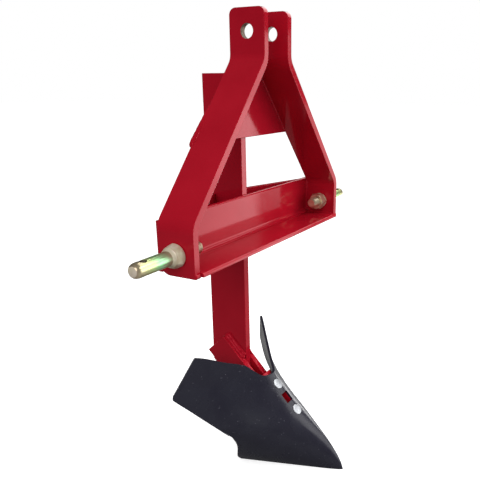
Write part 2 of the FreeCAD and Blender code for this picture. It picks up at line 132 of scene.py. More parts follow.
def ramp(tree: Tree, factor: Socket, stops: list[tuple[float, str]]) -> Socket:
    """Add a colour ramp.

    Args:
        tree: Node tree that gets the ramp.
        factor: Socket that drives it.
        stops: Positions with their hex colours, in rising order.

    Returns:
        The ramp's colour socket.
    """
    node = add_node(tree, "ValToRGB", {"Fac": factor})
    elements = node.color_ramp.elements
    elements[0].position, elements[1].position = stops[0][0], stops[-1][0]
    elements[0].color, elements[1].color = linear(stops[0][1]), linear(stops[-1][1])
    for position, colour in stops[1:-1]:
        elements.new(position).color = linear(colour)
    return node.outputs["Color"]


@dataclass(frozen=True)
class Finish:
    """A surface finish; the classes below say what each one's pattern is."""

    name: str
    colour: str
    roughness: float
    metallic: float = 0.0

    def material(self) -> bpy.types.Material:
        """Make the finish's material the first time it is asked for.

        Returns:
            The material.
        """
        made = bpy.data.materials.get(self.name)
        if made:
            return made
        made = bpy.data.materials.new(self.name)
        made.use_nodes = True
        tree = made.node_tree
        shader = tree.nodes["Principled BSDF"]
        shader.inputs["Base Color"].default_value = linear(self.colour)
        shader.inputs["Roughness"].default_value = self.roughness
        shader.inputs["Metallic"].default_value = self.metallic
        made.diffuse_color = linear(self.colour)
        coords = add_node(tree, "TexCoord").outputs["Object"]
        self.dress(tree, shader, coords)
        return made

    def dress(self, tree: Tree, shader: Node, coords: Socket) -> None:
        """Add the finish's pattern to its shader."""

    @staticmethod
    def noise(tree: Tree, coords: Socket, pitch: float, detail: float = 2.0,
              distortion: float = 0.0) -> Socket:
        """Add a noise whose lumps are one pitch apart.

        Args:
            tree: Node tree that gets the noise.
            coords: Coordinates in metres.
            pitch: Distance between lumps in millimetres.
            detail: Octaves of finer noise on top.
            distortion: How much the lumps are swirled.

        Returns:
            The noise's factor socket.
        """
        node = add_node(tree, "TexNoise", {"Vector": coords, "Scale": 1 / (pitch * MM),
                                           "Detail": detail, "Distortion": distortion})
        return node.outputs["Fac"]

    @staticmethod
    def bump(tree: Tree, shader: Node, heights: list[tuple[Socket, float]]) -> None:
        """Stack bumps on the shader.

        Args:
            tree: The material's node tree.
            shader: Its shader.
            heights: Sockets with their depths in millimetres.
        """
        normal = None
        for height, depth in heights:
            links = {"Height": height, "Distance": depth * MM, "Strength": 1.0}
            if normal is not None:
                links["Normal"] = normal
            normal = add_node(tree, "Bump", links).outputs["Normal"]
        tree.links.new(normal, shader.inputs["Normal"])


@dataclass(frozen=True)
class Enamel(Finish):
    """Sprayed gloss enamel on hot-rolled steel: orange peel, and the mill surface's long waves."""

    deep: str = "8F0E20"
    tint: str = "FF6070"        # the coat's gloss takes on its colour
    peel_pitch: float = 2.4     # orange peel of a sprayed coat
    peel_depth: float = 0.004
    wave_pitch: float = 38.0    # the rolled surface's slow waves
    wave_depth: float = 0.03

    def dress(self, tree: Tree, shader: Node, coords: Socket) -> None:
        """Add the peel, the waves and a slow change of colour.

        Args:
            tree: The material's node tree.
            shader: Its shader.
            coords: Coordinates in metres.
        """
        cloud = self.noise(tree, coords, 60.0, 3.0)
        tree.links.new(ramp(tree, cloud, [(0.3, self.deep), (0.7, self.colour)]),
                       shader.inputs["Base Color"])
        speck = self.noise(tree, coords, 9.0, 3.0)
        rough = add_node(tree, "MapRange", {"Value": speck, "From Min": 0.3, "From Max": 0.7,
                                            "To Min": self.roughness - 0.02,
                                            "To Max": self.roughness + 0.03})
        tree.links.new(rough.outputs["Result"], shader.inputs["Roughness"])
        self.bump(tree, shader, [(self.noise(tree, coords, self.wave_pitch), self.wave_depth),
                                 (self.noise(tree, coords, self.peel_pitch), self.peel_depth)])
        shader.inputs["Specular Tint"].default_value = linear(self.tint)


@dataclass(frozen=True)
class DipCoat(Finish):
    """Thin black dip coat on pressed spring steel: satin, with dust specks and scuffs."""

    worn: str = "2A2A35"
    scuff: str = "7C7C86"
    speck_pitch: float = 7.0    # between specks of dust and grit
    gloss: float = 0.3          # specular level: the thin coat is duller than an enamel
    grain_pitch: float = 2.0    # texture of the pressed plate
    grain_depth: float = 0.02

    def dress(self, tree: Tree, shader: Node, coords: Socket) -> None:
        """Add patches where the coat is thin, the specks, the scuffs and the plate's grain.

        Args:
            tree: The material's node tree.
            shader: Its shader.
            coords: Coordinates in metres.
        """
        patch = self.noise(tree, coords, 40.0, 4.0, 0.4)
        base = ramp(tree, patch, [(0.35, self.colour), (0.70, self.worn)])
        cells = add_node(tree, "TexVoronoi", {"Vector": coords, "Randomness": 1.0,
                                              "Scale": 1 / (self.speck_pitch * MM)})
        near = add_node(tree, "MapRange", {"Value": cells.outputs["Distance"], "From Min": 0.04,
                                           "From Max": 0.11, "To Min": 1.0, "To Max": 0.0})
        lot = add_node(tree, "SeparateColor", {"Color": cells.outputs["Color"]})
        some = add_node(tree, "Math", {0: lot.outputs[0], 1: 0.80}, operation="GREATER_THAN")
        speck = add_node(tree, "Math", {0: near.outputs["Result"], 1: some.outputs[0]},
                         operation="MULTIPLY")
        run = add_node(tree, "Mapping", {"Vector": coords, "Rotation": (0.5, 0.9, 0.35),
                                         "Scale": (1.0, 9.0, 9.0)})
        line = self.noise(tree, run.outputs["Vector"], 28.0, 3.0)
        scuff = add_node(tree, "MapRange", {"Value": line, "From Min": 0.70, "From Max": 0.74,
                                            "To Max": 0.5})
        mark = add_node(tree, "Math", {0: speck.outputs[0], 1: scuff.outputs["Result"]},
                        operation="MAXIMUM")
        shade = add_node(tree, "Mix", {"Factor": mark.outputs[0], "A": base,
                                       "B": linear(self.scuff)}, data_type="RGBA")
        tree.links.new(shade.outputs["Result"], shader.inputs["Base Color"])
        rough = add_node(tree, "MapRange", {"Value": patch, "From Min": 0.3, "From Max": 0.7,
                                            "To Min": self.roughness - 0.03,
                                            "To Max": self.roughness + 0.05})
        tree.links.new(rough.outputs["Result"], shader.inputs["Roughness"])
        shader.inputs["Specular IOR Level"].default_value = self.gloss
        self.bump(tree, shader, [(self.noise(tree, coords, self.grain_pitch), self.grain_depth)])


@dataclass(frozen=True)
class Plating(Finish):
    """Zinc plating: metal whose passivation film shifts from one tint to the next.

    The film thickens outward along each hitch pin, so its tint also drifts with the distance
    from the middle, from start to end in millimetres; equal values leave the drift out.
    """

    tints: tuple[tuple[float, str], ...] = ()
    film_pitch: float = 16.0    # patches of one film thickness
    start: float = 0.0
    end: float = 0.0

    def dress(self, tree: Tree, shader: Node, coords: Socket) -> None:
        """Add the film's tints and the fine scratches of tumbling.

        Args:
            tree: The material's node tree.
            shader: Its shader.
            coords: Coordinates in metres.
        """
        film = self.noise(tree, coords, self.film_pitch, 2.0, 0.8)
        if self.end > self.start:
            split = add_node(tree, "SeparateXYZ", {"Vector": coords})
            out = add_node(tree, "Math", {0: split.outputs["X"]}, operation="ABSOLUTE")
            drift = add_node(tree, "MapRange", {"Value": out.outputs[0],
                                                "From Min": self.start * MM,
                                                "From Max": self.end * MM}, clamp=False)
            swing = add_node(tree, "MapRange", {"Value": film, "To Min": -0.09, "To Max": 0.09})
            film = add_node(tree, "Math", {0: drift.outputs["Result"],
                                           1: swing.outputs["Result"]}).outputs[0]
        tree.links.new(ramp(tree, film, list(self.tints)), shader.inputs["Base Color"])
        self.bump(tree, shader, [(self.noise(tree, coords, 1.4, 4.0), 0.008)])


@dataclass(frozen=True)
class MillSteel(Finish):
    """Drilled or cut steel with no paint on it: dull, browned by its first rust."""

    rust: str = "5A4636"

    def dress(self, tree: Tree, shader: Node, coords: Socket) -> None:
        """Add blooms of rust and the drill's fine rings.

        Args:
            tree: The material's node tree.
            shader: Its shader.
            coords: Coordinates in metres.
        """
        bloom = self.noise(tree, coords, 5.0, 4.0)
        tree.links.new(ramp(tree, bloom, [(0.35, self.colour), (0.65, self.rust)]),
                       shader.inputs["Base Color"])
        self.bump(tree, shader, [(self.noise(tree, coords, 0.8, 2.0), 0.02)])


RED_ENAMEL = Enamel("Red_gloss_enamel", "AE1426", 0.09, deep="A61022")
BLACK_COAT = DipCoat("Black_dip_coat", "252430", 0.26)
# Yellow passivation over zinc: straw at the tip, yellow-green, then mint, pale beige inboard.
YELLOW_ZINC = Plating("Yellow_passivated_zinc", "A8A07E", 0.28, 0.8,
                      ((0.0, "CBBDA2"), (0.20, "B8A88C"), (0.36, "B9BFA2"), (0.46, "A9D8A8"),
                       (0.60, "9FE6A6"), (0.70, "BCE49A"), (0.82, "D9DF9C"), (0.91, "DCD0A4"),
                       (1.0, "C9B498")), 12.0, 225.0, 337.0)
# The same film on forged and sawn faces, whose rougher zinc shows it as a dull cream.
DULL_ZINC = Plating("Dull_yellow_zinc", "D2C4AA", 0.42, 0.30,
                    ((0.3, "C8B898"), (0.5, "D8CCB0"), (0.7, "E2D2C2")))
BRIGHT_ZINC = Plating("Bright_zinc", "B4B7BC", 0.36, 0.9, ((0.3, "9C9EA2"), (0.7, "C2C5C8")))
BARE_STEEL = MillSteel("Cut_mild_steel", "857C6E", 0.5, 0.5)


# ---- Meshes -------------------------------------------------------------------------------------
def hang(name: str, data: bpy.types.ID) -> bpy.types.Object:
    """Put a new object in the scene.

    Args:
        name: The object's name.
        data: Its mesh, light or camera.

    Returns:
        The object.
    """
    thing = bpy.data.objects.new(name, data)
    bpy.context.scene.collection.objects.link(thing)
    return thing


def make_piece(name: str, shape: BMesh, finish: Finish, slot: Slot,
               *stands_for: str, others: tuple[Finish, ...] = ()) -> bpy.types.Object:
    """Turn a bmesh into a finished piece on the plough's body.

    Args:
        name: The piece's name.
        shape: Its mesh, which is freed.
        finish: What it is coated with.
        slot: The record's slot for that finish; not used.
        stands_for: CAD nodes that it replaces.
        others: Finishes of the faces whose material number is 1 and up.

    Returns:
        The new object.
    """
    mesh = bpy.data.meshes.new(name)
    shape.to_mesh(mesh)
    shape.free()
    for coat in (finish, *others):
        mesh.materials.append(coat.material())
    piece = hang(name, mesh)
    mesh.shade_smooth()
    mesh.set_sharp_from_angle(angle=math.radians(SHARP))
    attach(piece, BODY)
    if stands_for:
        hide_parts(*stands_for)
    log.info("%s: %d faces", name, len(mesh.polygons))
    return piece


def solid_of(node: str) -> BMesh:
    """Copy a CAD node's mesh with its loose triangles joined into flat faces.

    Args:
        node: The node's name.

    Returns:
        The copy, in metres.
    """
    shape = bmesh.new()
    shape.from_mesh(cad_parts[node].data)
    bmesh.ops.remove_doubles(shape, verts=shape.verts, dist=SEAM * MM)
    bmesh.ops.dissolve_limit(shape, angle_limit=math.radians(FLAT), verts=shape.verts,
                             edges=shape.edges)
    return shape


def sharp_edges(shape: BMesh) -> list[bmesh.types.BMEdge]:
    """Return the edges whose faces turn by more than a crease does."""
    limit = math.radians(CREASE)
    return [e for e in shape.edges if len(e.link_faces) == 2 and e.calc_face_angle(0.0) > limit]


def round_edges(shape: BMesh, radius: float, segments: int = 3) -> None:
    """Round every sharp edge.

    Args:
        shape: The mesh.
        radius: How far back from the edge, in millimetres of a mesh in metres.
        segments: Facets across the rounding.
    """
    bmesh.ops.bevel(shape, geom=sharp_edges(shape), offset=radius * MM, offset_type="OFFSET",
                    segments=segments, profile=0.5, affect="EDGES", clamp_overlap=True,
                    material=-1)


def turned(profile: tuple[tuple[float, float], ...], steps: int = 48) -> BMesh:
    """Return a solid turned about the X axis.

    Args:
        profile: Distances along the axis with their radii, from axis to axis.
        steps: Facets round the axis.

    Returns:
        The closed solid, in the profile's own unit.
    """
    shape = bmesh.new()
    points = [shape.verts.new((x, 0.0, radius)) for x, radius in profile]
    edges = [shape.edges.new(pair) for pair in zip(points, points[1:])]
    bmesh.ops.spin(shape, geom=points + edges, cent=(0, 0, 0), axis=(1, 0, 0), angle=math.tau,
                   steps=steps, use_merge=True, use_duplicate=False)
    bmesh.ops.remove_doubles(shape, verts=shape.verts, dist=1e-4)
    bmesh.ops.recalc_face_normals(shape, faces=shape.faces)
    return shape


def merge(shape: BMesh, other: BMesh) -> None:
    """Add another mesh to a mesh.

    Args:
        shape: The mesh that grows.
        other: The mesh that is added and freed.
    """
    mesh = bpy.data.meshes.new("merged")
    other.to_mesh(mesh)
    other.free()
    shape.from_mesh(mesh)
    bpy.data.meshes.remove(mesh)


def carved(shape: BMesh, tool: BMesh, operation: str, join: float = 1e-4) -> BMesh:
    """Return a solid cut by, or shared with, another; both are freed.

    Args:
        shape: The solid.
        tool: The other solid, in the same unit.
        operation: The Boolean's name.
        join: Corners nearer to one another than this become one.

    Returns:
        The new solid.
    """
    pair = []
    for name, source in (("carved", shape), ("tool", tool)):
        mesh = bpy.data.meshes.new(name)
        source.to_mesh(mesh)
        source.free()
        pair.append(hang(name, mesh))
    cut = pair[0].modifiers.new("cut", "BOOLEAN")
    cut.object, cut.operation, cut.solver = pair[1], operation, "EXACT"
    result = bmesh.new()
    result.from_object(pair[0], bpy.context.evaluated_depsgraph_get())
    for thing in pair:
        mesh = thing.data
        bpy.data.objects.remove(thing)
        bpy.data.meshes.remove(mesh)
    bmesh.ops.remove_doubles(result, verts=result.verts, dist=join)
    return result


@dataclass
class RoundedSolid:
    """A CAD solid whose sharp edges are rounded as rolled or sheared steel is."""

    node: str
    edge: float
    finish: Finish
    slot: Slot
    bore: float = 0.0           # radius, in millimetres, of an unpainted bore along X at the origin

    def build(self) -> bpy.types.Object:
        """Build the rounded copy in the solid's place.

        Returns:
            The new object.
        """
        shape = solid_of(self.node)
        round_edges(shape, self.edge)
        if self.bore:
            for face in shape.faces:
                if all(math.hypot(v.co.y, v.co.z) < self.bore * MM for v in face.verts):
                    face.material_index = 1
        piece = make_piece(self.node + "_steel", shape, self.finish, self.slot, self.node,
                           others=(BARE_STEEL,) if self.bore else ())
        weighted = piece.modifiers.new("flat_faces", "WEIGHTED_NORMAL")
        weighted.keep_sharp = True
        return piece


@dataclass
class Thread:
    """The end of a threaded rod: a helical ridge cut square, with a chamfered tip.

    Its start is in the mesh's own unit, its sizes in millimetres; it runs along a direction to its
    tip.
    """

    start: Vector
    along: Vector
    length: float
    radius: float
    pitch: float
    steps: int = 20             # facets in a turn
    groove: float = 0.6         # depth, in pitches
    crest: tuple[float, float] = (-0.55, -0.4)  # the ridge's flat top, in pitches

    def add_to(self, shape: BMesh, unit: float = MM) -> None:
        """Add the rod to a mesh.

        Args:
            shape: The mesh.
            unit: Units of that mesh to a millimetre.
        """
        own = bmesh.new()
        depth = self.groove * self.pitch
        rows = [own.verts.new((self.radius - deep, 0.0, rise * self.pitch))
                for deep, rise in ((depth, -1.0), (0.0, self.crest[0]), (0.0, self.crest[1]),
                                   (depth, 0.0))]
        edges = [own.edges.new(pair) for pair in zip(rows, rows[1:])]
        tip = 0.8 * self.pitch
        turns = math.ceil((self.length - tip) / self.pitch) + 2
        bmesh.ops.spin(own, geom=rows + edges, cent=(0, 0, 0), axis=(0, 0, 1),
                       dvec=(0, 0, self.pitch / self.steps), angle=math.tau * turns,
                       steps=self.steps * turns, use_merge=False, use_duplicate=False)
        bmesh.ops.remove_doubles(own, verts=own.verts, dist=0.01)
        for height, ahead in ((0.0, -1), (self.length - tip, 1)):
            bmesh.ops.bisect_plane(own, geom=own.verts[:] + own.edges[:] + own.faces[:],
                                   dist=0.001, plane_co=(0, 0, height), plane_no=(0, 0, ahead),
                                   clear_outer=True)
            rim = [e for e in own.edges if e.is_boundary
                   and all(abs(v.co.z - height) < 0.01 for v in e.verts)]
            cap = bmesh.ops.contextual_create(own, geom=rim)["faces"]
            if ahead > 0 and cap:
                end = bmesh.ops.extrude_discrete_faces(own, faces=cap)["faces"]
                corners = list({v for f in end for v in f.verts})
                bmesh.ops.translate(own, verts=corners, vec=(0, 0, tip))
                shrink = (self.radius - depth) / self.radius
                bmesh.ops.scale(own, verts=corners, vec=(shrink, shrink, 1.0))
        bmesh.ops.recalc_face_normals(own, faces=own.faces)
        turn = self.along.to_track_quat("Z", "Y").to_matrix().to_4x4()
        bmesh.ops.transform(own, verts=own.verts,
                            matrix=Matrix.Translation(self.start) @ turn @ Matrix.Scale(unit, 4))
        merge(shape, own)


@dataclass
class WeldBead:
    """A run of weld: crescent ripples along a line, thinner at its start and end.

    Points are in metres; width and height are in millimetres across the bead and out of the
    surface that it lies on.
    """

    path: list[Vector]
    out: Vector
    width: float = 8.0
    height: float = 3.6
    ripple: float = 2.4         # from one frozen ripple to the next
    depth: float = 0.03         # of a ripple, as a share of the bead's height
    seed: int = 1
    sides: int = 12
    lag: float = 0.28           # how far a ripple's sides trail its middle, in bead widths
    swell: tuple[float, ...] = (0.0, 1.0, 0.55, 0.2)    # of one ripple, a quarter at a time

    def add_to(self, shape: BMesh) -> None:
        """Add the run to a mesh.

        Args:
            shape: The mesh, in metres.
        """
        along = 0.0

        def wave(length: float, phase: float) -> float:
            """Return a slow wave along the run, whose length is in bead widths."""
            return math.sin(along / (length * self.width * MM) * math.tau + phase)

        rng = random.Random(self.seed)
        phases = [rng.uniform(0.0, math.tau) for _ in range(3)]
        runs = [b - a for a, b in zip(self.path, self.path[1:])]
        total = sum(r.length for r in runs)
        steps = max(8, round(total / (0.25 * self.ripple * MM)))
        ring = bmesh.ops.create_circle(shape, segments=self.sides, radius=1.0,
                                       cap_ends=True)["verts"]
        for corner in ring:
            corner.co.z = -self.lag * self.width * MM * corner.co.x ** 2
        here = Matrix.Identity(4)
        edges = list({e for v in ring for e in v.link_edges})
        for step in range(steps + 1):
            along = total * step / steps
            swell = 1.0 + self.depth * self.swell[step % 4]
            swell += 0.05 * wave(3.1, phases[0])
            swell += 0.03 * wave(1.1, phases[1])
            end = min(along, total - along) / (0.5 * self.width * MM)
            swell *= math.sqrt(max(0.06, 1.0 - (1.0 - min(end, 1.0)) ** 2))
            drift = 0.04 * self.width * wave(4.3, phases[2])
            there = self.frame_at(along, runs, swell, drift)
            if step:
                made = bmesh.ops.extrude_edge_only(shape, edges=edges)["geom"]
                ring = [g for g in made if isinstance(g, bmesh.types.BMVert)]
                edges = [g for g in made if isinstance(g, bmesh.types.BMEdge)
                         and all(v in ring for v in g.verts)]
            bmesh.ops.transform(shape, matrix=there @ here.inverted(), verts=ring)
            here = there
        bmesh.ops.contextual_create(shape, geom=edges)

    def frame_at(self, along: float, runs: list[Vector], swell: float, shift: float) -> Matrix:
        """Place the unit ring at a distance along the path.

        Args:
            along: That distance, in metres.
            runs: The path's legs.
            swell: How much larger than its nominal size the bead is there.
            shift: How far it strays sideways, in millimetres.

        Returns:
            The ring's matrix.
        """
        point = self.path[0].copy()
        direction = runs[0].normalized()
        for start, run in zip(self.path, runs):
            direction = run.normalized()
            point = start + direction * min(along, run.length)
            if along <= run.length:
                break
            along -= run.length
        side = direction.cross(self.out).normalized()
        up = side.cross(direction)
        columns = (side * (0.5 * self.width * MM * swell), up * (self.height * MM * swell),
                   direction * swell)
        turn = Matrix([[c[i] for c in columns] for i in range(3)]).to_4x4()
        return Matrix.Translation(point + side * (shift * MM)) @ turn


def weld_piece(name: str, beads: list[WeldBead]) -> bpy.types.Object:
    """Build one piece from several runs of weld.

    Args:
        name: The piece's name.
        beads: Its runs.

    Returns:
        The new object.
    """
    shape = bmesh.new()
    for number, bead in enumerate(beads):
        bead.seed = bead.seed * 31 + number
        bead.add_to(shape)
    bmesh.ops.recalc_face_normals(shape, faces=shape.faces)
    return make_piece(name, shape, RED_ENAMEL, Slot.FRAME)


# ---- Sub-assemblies -----------------------------------------------------------------------------
@dataclass
class Mast:
    """Bent flat bars with the upper plate and the cross angle welded across their rear edges."""

    edge: float = 1.0           # hot-rolled flat bar's own corner
    ear_face: float = 44.45     # outer face of each ear from the middle
    upper_bend: float = -40.3   # outer corners' heights
    lower_bend: float = -264.5
    bar: float = 12.7
    angle: float = 6.35         # the cross angle's thickness
    link_bore: float = 11.3
    nodes: tuple[str, ...] = ("mast_bar_left", "mast_bar_right", "upper_plate", "cross_angle")

    def run(self) -> float:
        """Return how far the slope goes outward for each millimetre that it drops."""
        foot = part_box("mast_bar_left")[1].x / MM
        return (foot - self.ear_face) / (self.upper_bend - self.lower_bend)

    def face_x(self, z: float) -> float:
        """Return the outer face's distance from the middle at a height on the slope, in metres."""
        return (self.ear_face + (self.upper_bend - z / MM) * self.run()) * MM

    def slant(self) -> float:
        """Return the bar's thickness measured level across the slope, in metres."""
        return self.bar * math.hypot(1.0, self.run()) * MM

    def build(self) -> None:
        """Build the bars, the plate, the angle and the welds between them."""
        for node in self.nodes:
            bore = self.link_bore if node.startswith("mast_bar") else 0.0
            RoundedSolid(node, self.edge, RED_ENAMEL, Slot.FRAME, bore).build()
        for side in Side:
            weld_piece("mast_weld" + side.suffix, self.beads(side))

    def beads(self, side: Side) -> list[WeldBead]:
        """Lay out the runs that hold one bar.

        Args:
            side: Which side of the plough.

        Returns:
            The runs of weld.
        """
        sign = side.value
        low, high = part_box("upper_plate")
        angle_low, angle_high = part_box("cross_angle")
        bar_low, bar_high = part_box("mast_bar_left")
        inner = bar_high.x - self.bar * MM
        back = Vector((0, 1, 0))
        ahead = Vector((0, -1, 0))

        def on_slope(z: float, share: float, y: float) -> Vector:
            """Return a point on the slope, a share of the bar's thickness inward."""
            return Vector((sign * (self.face_x(z) - share * self.slant()), y, z))

        corner = bar_low.z + 0.0032
        step = Vector((sign * angle_high.x, bar_high.y, 0.0))
        return [
            WeldBead([on_slope(-0.112, 0.45, low.y), on_slope(-0.140, 0.22, low.y),
                      on_slope(low.z - 0.003, 0.12, low.y)], back, 10.0, 5.0),
            WeldBead([on_slope(high.z - 0.002, 1.0, low.y), on_slope(low.z + 0.002, 1.0, low.y)],
                     ahead, 5.0, 2.4),
            WeldBead([step + Vector((0, 0, angle_high.z - drop)) for drop in (0.006, 0.070)],
                     Vector((sign, 1, 0)).normalized(), 6.0, 3.2),
            WeldBead([Vector((sign * inner, bar_high.y, angle_high.z - 0.003)),
                      Vector((sign * inner, bar_high.y, angle_low.z + 0.008))],
                     Vector((-sign, -1, 0)).normalized(), 7.0, 2.8),
            WeldBead([Vector((sign * inner, bar_high.y - 0.004, angle_low.z + self.angle * MM)),
                      Vector((sign * inner, bar_low.y + 0.003, angle_low.z + self.angle * MM))],
                     Vector((-sign, 0, 1)).normalized(), 6.0, 2.6),
            WeldBead([Vector((sign * x, bar_low.y + 0.0005, corner))
                      for x in (bar_high.x - 0.001, inner - 0.003)], ahead, 7.0, 2.6),
        ]


@dataclass
class Shank:
    """Upright flat bar with its two stays."""

    edge: float = 1.0
    nodes: tuple[str, ...] = ("shank", "rear_stay_left", "rear_stay_right")

    def build(self) -> None:
        """Build the shank, the stays and the welds that hold them."""
        for node in self.nodes:
            RoundedSolid(node, self.edge, RED_ENAMEL, Slot.FRAME).build()
        for side in Side:
            weld_piece("shank_weld" + side.suffix, self.beads(side))

    def beads(self, side: Side) -> list[WeldBead]:
        """Lay out the runs on one side of the shank.

        Args:
            side: Which side of the plough.

        Returns:
            The runs of weld.
        """
        sign = side.value
        low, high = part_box("shank")
        plate_low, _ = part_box("upper_plate")
        angle_low, angle_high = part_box("cross_angle")
        stay_low, stay_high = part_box("rear_stay_left")
        x = sign * high.x
        back = Vector((0, 1, 0))
        up = Vector((0, 0, 1))
        return [
            WeldBead([Vector((x, low.y, high.z - 0.002)), Vector((x, low.y, plate_low.z + 0.002))],
                     back, 9.0, 4.0),
            WeldBead([Vector((x, low.y, angle_high.z - 0.002)),
                      Vector((x, low.y, angle_low.z + 0.002))], back, 9.0, 4.0),
            WeldBead([Vector((x, stay_high.y - 0.001, stay_high.z - 0.001)),
                      Vector((x, stay_high.y - 0.001, stay_low.z + 0.001))], back, 8.0, 3.4),
            WeldBead([Vector((sign * (stay_high.x - 0.002), low.y, stay_high.z)),
                      Vector((sign * (stay_high.x - 0.026), low.y, stay_high.z))], up, 5.0, 1.2),
        ]


@dataclass
class Frog:
    """Two cheeks and the face bar that carry the share, raked forward."""

    edge: float = 1.0
    rake: float = 46.5          # of the share's ridge, from level
    ridge: Vector = field(default_factory=lambda: Vector((0.0, -48.05, -643.3)))
    front: float = -20.64       # the cheeks' front edges, out of the ridge
    top: float = 165.0          # their upper ends, along it
    low: float = 101.0          # where the shank's front edge leaves them
    shank_half: float = 7.94
    pocket: tuple[float, float, float] = (21.0, 20.0, 21.0)     # width, depth, length
    pocket_floor: float = -16.0     # out of the ridge
    nodes: tuple[str, ...] = ("frog_cheek_left", "frog_cheek_right", "frog_face")

    def point(self, along: float, out: float, x: float) -> Vector:
        """Find a point from the share's ridge.

        Args:
            along: Distance up along the ridge, in millimetres.
            out: Distance out of the ridge.
            x: Distance from the middle.

        Returns:
            The point, in metres.
        """
        turn = math.radians(self.rake)
        return Vector((x, self.ridge.y + along * math.cos(turn) - out * math.sin(turn),
                       self.ridge.z + along * math.sin(turn) + out * math.cos(turn))) * MM

    def build(self) -> None:
        """Build the cheeks, the face bar and the fillets that hold them to the shank."""
        for node in self.nodes[:2]:
            RoundedSolid(node, self.edge, RED_ENAMEL, Slot.FRAME).build()
        self.face_bar()
        for side in Side:
            weld_piece("frog_weld" + side.suffix, self.beads(side))

    def face_bar(self) -> None:
        """Build the face bar with the square hole's pocket sunk into it."""
        node = self.nodes[2]
        shape = solid_of(node)
        round_edges(shape, self.edge)
        punch = bmesh.new()
        bmesh.ops.create_cube(punch, size=1.0)
        bmesh.ops.scale(punch, verts=punch.verts, vec=Vector(self.pocket) * MM)
        turn = Matrix.Rotation(math.radians(self.rake) - math.pi / 2, 4, "X")
        bmesh.ops.transform(punch, verts=punch.verts,
                            matrix=Matrix.Translation(self.point(0.0, self.pocket_floor
                                                                 + self.pocket[1] / 2, 0.0)) @ turn)
        shape = carved(shape, punch, "DIFFERENCE", 1e-6)
        make_piece(node + "_steel", shape, RED_ENAMEL, Slot.FRAME, node)

    def beads(self, side: Side) -> list[WeldBead]:
        """Lay out one cheek's runs: three passes down its front edge, its end, the face bar.

        Args:
            side: Which side of the plough.

        Returns:
            The runs of weld.
        """
        sign = side.value
        shank = self.shank_half

        def on_cheek(along: float, out: float, x: float) -> Vector:
            """Return a point on the cheek, from millimetres."""
            return self.point(along, out, sign * x)

        front = self.front
        origin = self.point(0.0, 0.0, 0.0)
        lean = (self.point(0.0, 1.0, 0.0) - origin).normalized()
        up = (self.point(1.0, 0.0, 0.0) - origin).normalized()
        outward = Vector((sign, 0.0, 0.0))
        face = (lean + 0.9 * outward).normalized()
        beads = [
            WeldBead([on_cheek(self.top + rise, front + out, shank + x),
                      on_cheek(self.low + fall, front + out, shank + x)],
                     face, width, height, 3.0, 0.02)
            for rise, fall, out, x, width, height in (
                (0.5, 9.5, 5.6, 2.0, 9.0, 3.0), (0.0, 6.0, 2.4, 5.2, 9.0, 2.8),
                (-1.0, 3.0, -1.0, 8.4, 7.0, 1.8))]
        beads += [
            WeldBead([on_cheek(self.top - 1.0, front + 3.0, shank + 3.5),
                      on_cheek(self.top - 1.0, front - 9.0, shank + 1.5)],
                     (up + 0.8 * outward).normalized(), 7.0, 3.2),
            WeldBead([on_cheek(along, front, shank + 3.0) for along in (-52.0, 52.0)],
                     (-lean - 0.2 * outward).normalized(), 6.0, 2.6),
        ]
        return beads


@dataclass
class SharePlate:
    """Double-winged share, bent from one plate."""

    edge: float = 0.8

    def build(self) -> None:
        """Build the share with its sheared edges eased."""
        RoundedSolid("share", self.edge, BLACK_COAT, Slot.SHARE).build()


